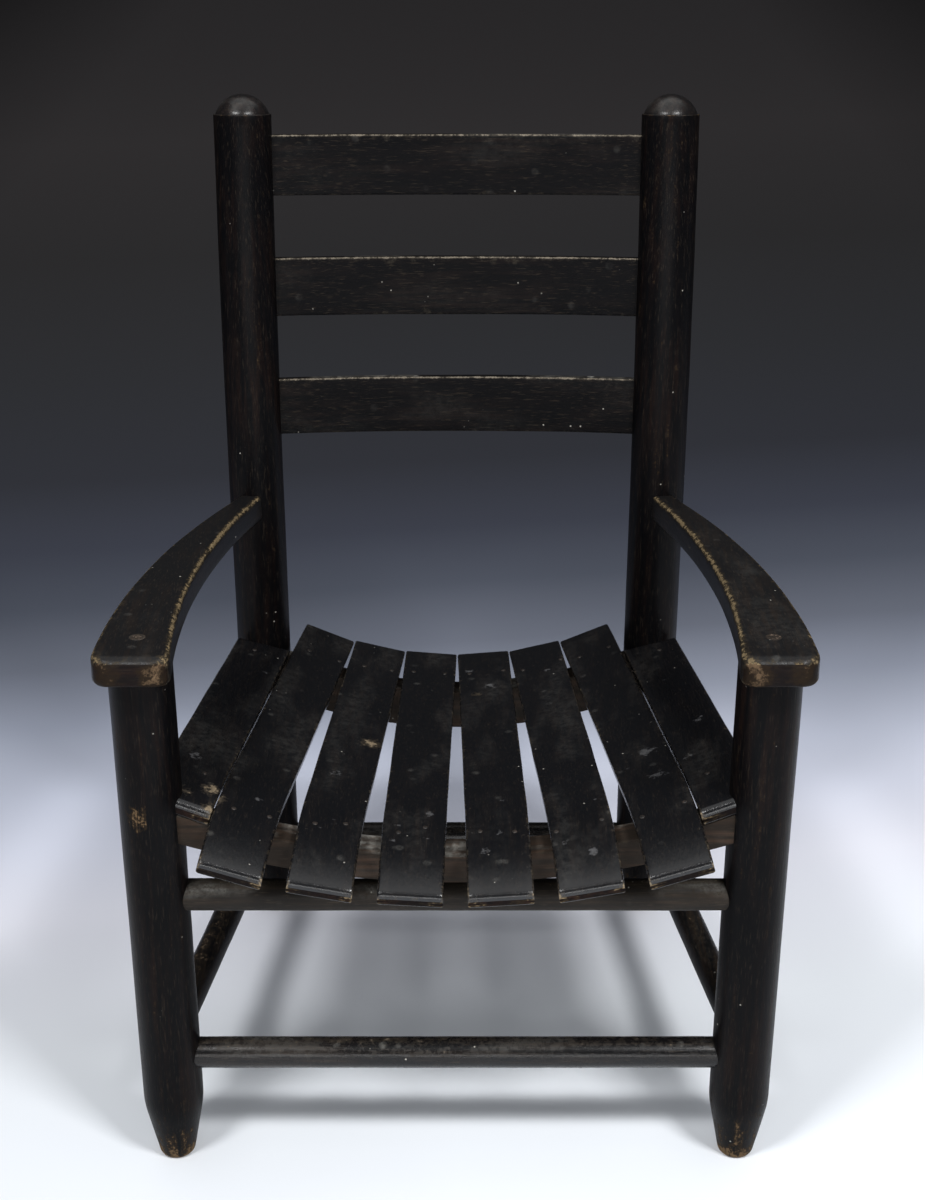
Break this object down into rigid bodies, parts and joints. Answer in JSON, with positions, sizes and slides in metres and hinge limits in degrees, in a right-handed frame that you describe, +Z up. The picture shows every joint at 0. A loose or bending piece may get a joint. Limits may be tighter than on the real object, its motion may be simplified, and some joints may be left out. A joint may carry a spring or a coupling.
{
  "type": "child's ladder-back armchair",
  "caption": "Small ladder-back wooden armchair with round posts, bent back slats, sawn arms and a dished seat of fanned bent slats.",
  "frame": {"origin": "centre of the chair's bounding box seen from above, at the level of the feet on the floor", "axes": "+Z up, +X to the right for someone who faces the front of the chair, +Y from the front of the chair to its back"},
  "size_m": [0.4092, 0.3789, 0.621],
  "materials": {
    "post_paint": "satin",
    "rail_paint": "matte",
    "seat_paint": "satin",
    "back_slat_paint": "satin",
    "arm_paint": "satin",
    "dowel_paint": "satin"
  },
  "bodies": {
    "root": {"front_post_left": "post_paint", "front_post_right": "post_paint", "rear_post_left": "post_paint", "rear_post_right": "post_paint", "front_seat_rung": "post_paint", "front_stretcher": "post_paint", "rear_stretcher": "post_paint", "side_seat_rung_left": "post_paint", "side_seat_rung_right": "post_paint", "side_stretcher_left": "post_paint", "side_stretcher_right": "post_paint", "front_seat_rail": "rail_paint", "rear_seat_rail": "rail_paint", "seat_slat_left_outer": "seat_paint", "seat_slat_left_3": "seat_paint", "seat_slat_left_2": "seat_paint", "seat_slat_left_1": "seat_paint", "seat_slat_right_1": "seat_paint", "seat_slat_right_2": "seat_paint", "seat_slat_right_3": "seat_paint", "seat_slat_right_outer": "seat_paint", "back_slat_top": "back_slat_paint", "back_slat_middle": "back_slat_paint", "back_slat_bottom": "back_slat_paint", "arm_left": "arm_paint", "arm_right": "arm_paint", "arm_dowel_left": "dowel_paint", "arm_dowel_right": "dowel_paint"}
  },
  "joints": []
}
